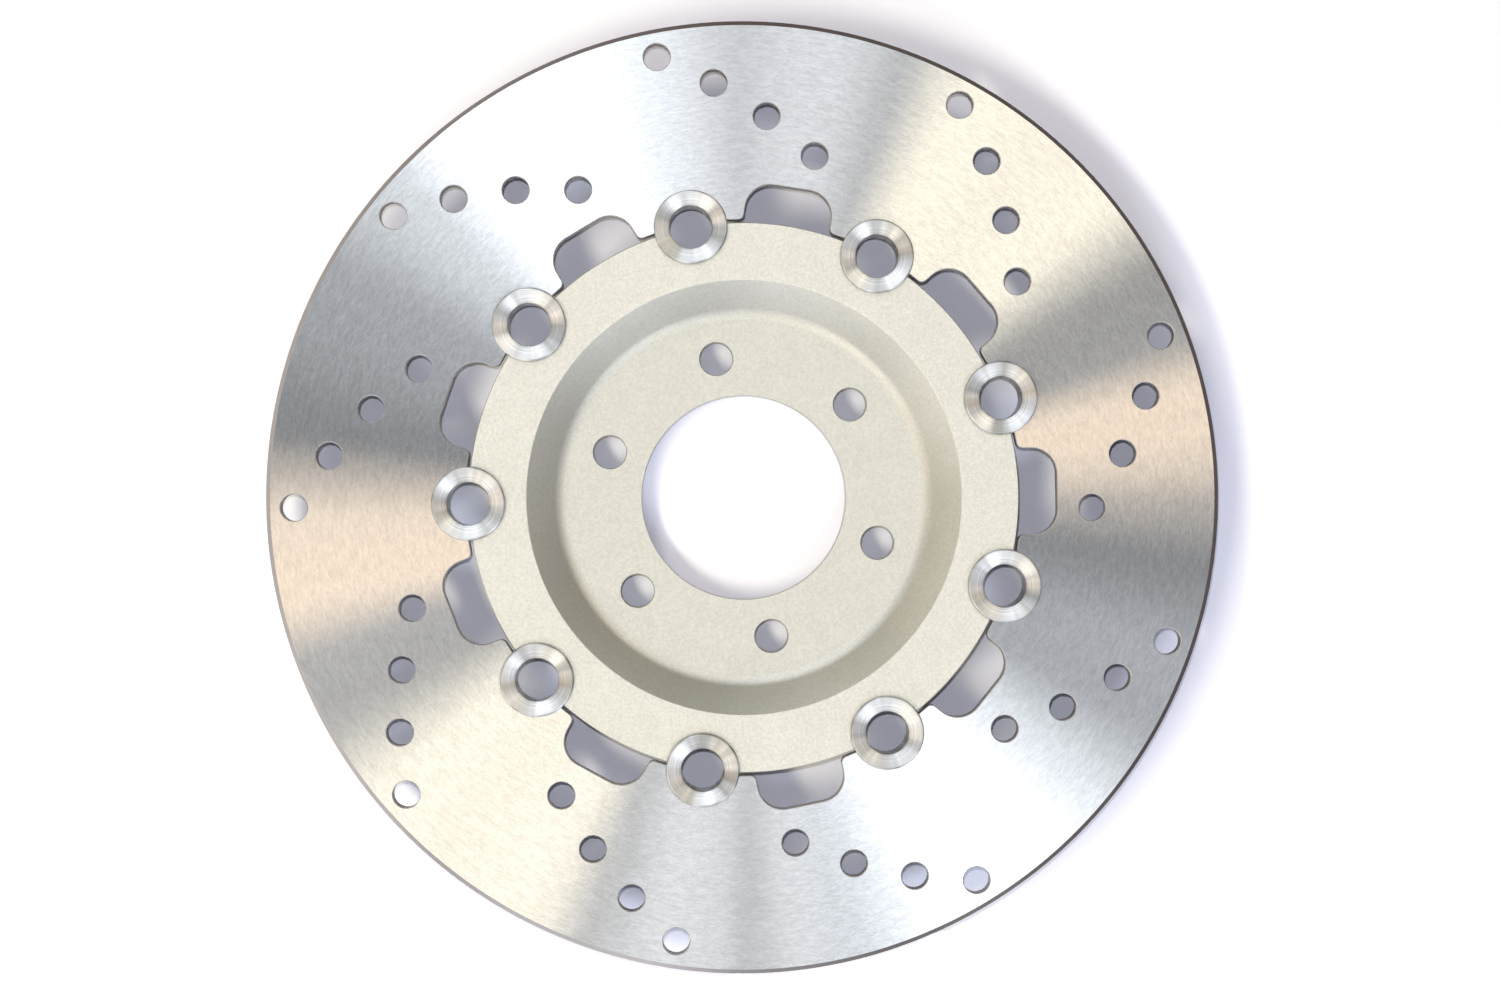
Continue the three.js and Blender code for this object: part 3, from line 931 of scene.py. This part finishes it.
# A round key light at the lower left, with a soft edge, which only the metals mirror.
KEY_ANGLE = 232 * DEGREE
KEY_TILT = 44 * DEGREE
KEY_REACH = 14 * DEGREE
KEY_EDGE = 6 * DEGREE
KEY_LEVEL = 3.0
KEY_TINT = (1.0, 0.95, 0.84)

LAMP_DISTANCE = 1200 * MM

# One more lamp on the paper, a small one just off the camera.
FLASH_ANGLE = 110 * DEGREE
FLASH_OFFSET = 42 * MM
FLASH_RADIUS = 6 * MM
FLASH_LEVEL = 0.47

# The floor and the backdrop, which is a sheet of paper just behind the rotor.
PAPER_REACH = 4000 * MM
FLOOR_GAP = 0.2 * MM
FLOOR_COLOUR = (0.86, 0.86, 0.90, 1)
FLOOR_GLOW = 0.64
BACKDROP_GAP = 3 * MM
BACKDROP_COLOUR = (0.50, 0.515, 0.60, 1)
BACKDROP_CLEARS = -50 * MM  # the backdrop is clear to a camera whose y is above this


def direction(angle, tilt):
    """Where something stands at an angle in the picture and a tilt away from the line to the camera."""
    around = angle - CAMERA_ROLL
    return Vector((math.sin(tilt) * math.cos(around), -math.cos(tilt), math.sin(tilt) * math.sin(around)))


def fan_stops():
    """Both ends of every panel, each with its level and tint."""
    return [(degrees, level, tint) for start, end, level, tint in LIGHT_FANS for degrees in (start, end)]


def skirt_stops():
    """The skirt's swell and tint at even steps round the axis."""
    stops = []
    for step in range(SKIRT_STOPS):
        angle = 2 * math.pi * step / SKIRT_STOPS
        swell = (1 + math.cos(angle - SKIRT_BRIGHT_ANGLE)) / 2
        sky = (1 + math.cos(angle - SKIRT_SKY_ANGLE)) / 2
        tint = tuple(warm + (cold - warm) * sky for warm, cold in zip(AMBER, SKY))
        stops.append((math.degrees(angle), SKIRT_DARK + (SKIRT_BRIGHT - SKIRT_DARK) * swell, tint))
    return stops


def light_wheel(nodes, turn_share, lights):
    """The light at a share of a turn round the axis. One ramp can't hold all the fans' stops, so two do."""
    top = max(level * max(tint) for _, level, tint in lights)
    stops = [(degrees / 360, grey(level / top, tint)) for degrees, level, tint in lights]
    middle = len(stops) // 2
    split = stops[middle][0]
    opening = (stops[-1][0] - 1, stops[-1][1])
    closing = (stops[0][0] + 1, stops[0][1])
    halves = []
    for low, high, some in (
        (opening[0], split, [opening] + stops[:middle + 1]),
        (split, closing[0], stops[middle:] + [closing]),
    ):
        placed = [((place - low) / (high - low), colour) for place, colour in some]
        halves.append(nodes.ramp(nodes.remap(turn_share, low, high), placed))
    wheel = nodes.mix(nodes.math("GREATER_THAN", turn_share, split), *halves)
    return nodes.mix(1.0, wheel, grey(top), "MULTIPLY")


def striped(nodes, light, angle, axis_share):
    """Light with stripes round the axis, which fade out towards it."""
    wave = nodes.math("COSINE", nodes.math("MULTIPLY", angle, STRIPE_COUNT))
    swell = nodes.math("COSINE", nodes.math("MULTIPLY", angle, SWELL_COUNT))
    level = nodes.math("MULTIPLY_ADD", wave, STRIPE_DEPTH, STRIPE_LEVEL)
    level = nodes.math("ADD", level, nodes.math("MULTIPLY", swell, STRIPE_DEPTH))
    stripes = nodes.vector(level, level, level)
    stripes = nodes.mix(nodes.step(axis_share, *STRIPES_TO_PLAIN), stripes, grey(1.0))
    return nodes.mix(1.0, light, stripes, "MULTIPLY")


def studio(eye_place):
    """Light from all round, the same behind the rotor as in front of it, and not the same for everything.

    The metals mirror the key light, the fans round the camera's mirror image near the axis, and the skirt
    near the rotor's plane. The paper gets its three glows. The camera sees plain white.
    """
    world = bpy.data.worlds.new("studio")
    bpy.context.scene.world = world
    world.use_nodes = True
    world.cycles.sampling_method = "NONE"
    nodes = Nodes(world.node_tree)
    x, y, z = nodes.split(nodes.add("ShaderNodeTexCoord").outputs["Generated"])
    eye_way = eye_place.normalized()
    sideways = nodes.math("ADD", x, eye_way.x)
    upwards = nodes.math("ADD", z, eye_way.z)
    angle = nodes.math("ADD", nodes.math("ARCTAN2", upwards, sideways), CAMERA_ROLL)
    turn_share = nodes.math("FRACT", nodes.math("DIVIDE", angle, 2 * math.pi))
    fans = light_wheel(nodes, turn_share, fan_stops())
    skirt = light_wheel(nodes, turn_share, skirt_stops())

    axis_share = nodes.math("ABSOLUTE", y)
    light = nodes.mix(nodes.step(axis_share, *SKIRT_TO_FANS), skirt, fans)
    light = striped(nodes, light, angle, axis_share)
    to_front = nodes.vector(x, nodes.math("MULTIPLY", axis_share, -1), z)
    toward_key = nodes.dot(to_front, direction(KEY_ANGLE, KEY_TILT))
    in_key = nodes.step(toward_key, math.cos(KEY_REACH + KEY_EDGE), math.cos(KEY_REACH - KEY_EDGE))
    light = nodes.mix(in_key, light, grey(KEY_LEVEL, KEY_TINT))

    on_paper = nodes.mix(nodes.step(axis_share, *PAPER_LOW_TO_MIDDLE), PAPER_LOW, PAPER_MIDDLE)
    on_paper = nodes.mix(nodes.step(axis_share, *PAPER_MIDDLE_TO_NEAR), on_paper, PAPER_NEAR)
    ray = nodes.add("ShaderNodeLightPath")
    light = nodes.mix(ray.outputs["Is Diffuse Ray"], light, on_paper)
    background = nodes.add("ShaderNodeBackground")
    nodes.put(background.inputs["Color"], nodes.mix(ray.outputs["Is Camera Ray"], light, grey(1.0)))
    output = nodes.add("ShaderNodeOutputWorld")
    nodes.put(output.inputs["Surface"], background.outputs[0])


def lamp(name, place, half_width, half_height, level, tint):
    """A disc of light that faces the rotor and that nothing mirrors. Its width runs round the spin axis."""
    toward = place.normalized()
    sideways = Vector((-toward.z, 0, toward.x)).normalized()
    data = bpy.data.lights.new(name, "AREA")
    data.shape = "ELLIPSE"
    data.size = 2 * half_width
    data.size_y = 2 * half_height
    data.color = [channel / max(tint) for channel in tint]
    data.energy = level * max(tint) * (math.pi * place.length) ** 2
    thing = bpy.data.objects.new(name, data)
    thing.matrix_world = Matrix((sideways, toward.cross(sideways), toward)).transposed().to_4x4()
    thing.location = place
    thing.visible_camera = False
    thing.visible_glossy = False
    bpy.context.scene.collection.objects.link(thing)


def lamps(eye_place):
    for name, (angle, tilt, width, height, level, tint) in PAPER_LAMPS.items():
        place = direction(angle * DEGREE, tilt * DEGREE) * LAMP_DISTANCE
        half_width = LAMP_DISTANCE * math.tan(width * DEGREE)
        half_height = LAMP_DISTANCE * math.tan(height * DEGREE)
        lamp(name, place, half_width, half_height, level, tint)
    place = eye_place + direction(FLASH_ANGLE, 90 * DEGREE) * FLASH_OFFSET
    lamp("flash_on_paper", place, FLASH_RADIUS, FLASH_RADIUS, FLASH_LEVEL, WHITE)


def sheet(name, corners):
    """A flat sheet of the stage, with a material of its own to fill in."""
    mesh = bpy.data.meshes.new(name)
    mesh.from_pydata(corners, [], [range(len(corners))])
    thing = bpy.data.objects.new(name, mesh)
    bpy.context.scene.collection.objects.link(thing)
    material, nodes = new_material(f"{name}_paper")
    mesh.materials.append(material)
    return thing, nodes


def floor():
    """Paper under the rotor that only the camera sees."""
    side, level = PAPER_REACH, CAD_BOX[0].z - FLOOR_GAP
    thing, nodes = sheet("floor", [
        (-side, -side, level), (side, -side, level), (side, side, level), (-side, side, level),
    ])
    nodes.surface(nodes.paper(FLOOR_COLOUR, FLOOR_GLOW))
    thing.visible_diffuse = False
    thing.visible_glossy = False
    thing.visible_shadow = False


def backdrop():
    """Paper just behind the hub face. It is clear to a camera that stands behind it."""
    side, low, y = PAPER_REACH, CAD_BOX[0].z - FLOOR_GAP, FLOOR_BACK + BACKDROP_GAP
    _, nodes = sheet("backdrop", [(-side, y, low), (side, y, low), (side, y, side), (-side, y, side)])
    paper = nodes.paper(BACKDROP_COLOUR, 0.0)
    clear = nodes.add("ShaderNodeBsdfTransparent")
    viewer = nodes.add("ShaderNodeVectorTransform",
                       vector_type="POINT", convert_from="CAMERA", convert_to="WORLD")
    viewer.inputs[0].default_value = (0, 0, 0)
    viewer_y = nodes.split(viewer.outputs[0])[1]
    choose = nodes.add("ShaderNodeMixShader")
    nodes.put(choose.inputs[0], nodes.math("GREATER_THAN", viewer_y, BACKDROP_CLEARS))
    nodes.put(choose.inputs[1], paper)
    nodes.put(choose.inputs[2], clear.outputs[0])
    nodes.surface(choose.outputs[0])


build_rotor()
eye = camera()
studio(eye)
lamps(eye)
floor()
backdrop()
bpy.context.scene.view_settings.view_transform = "Standard"
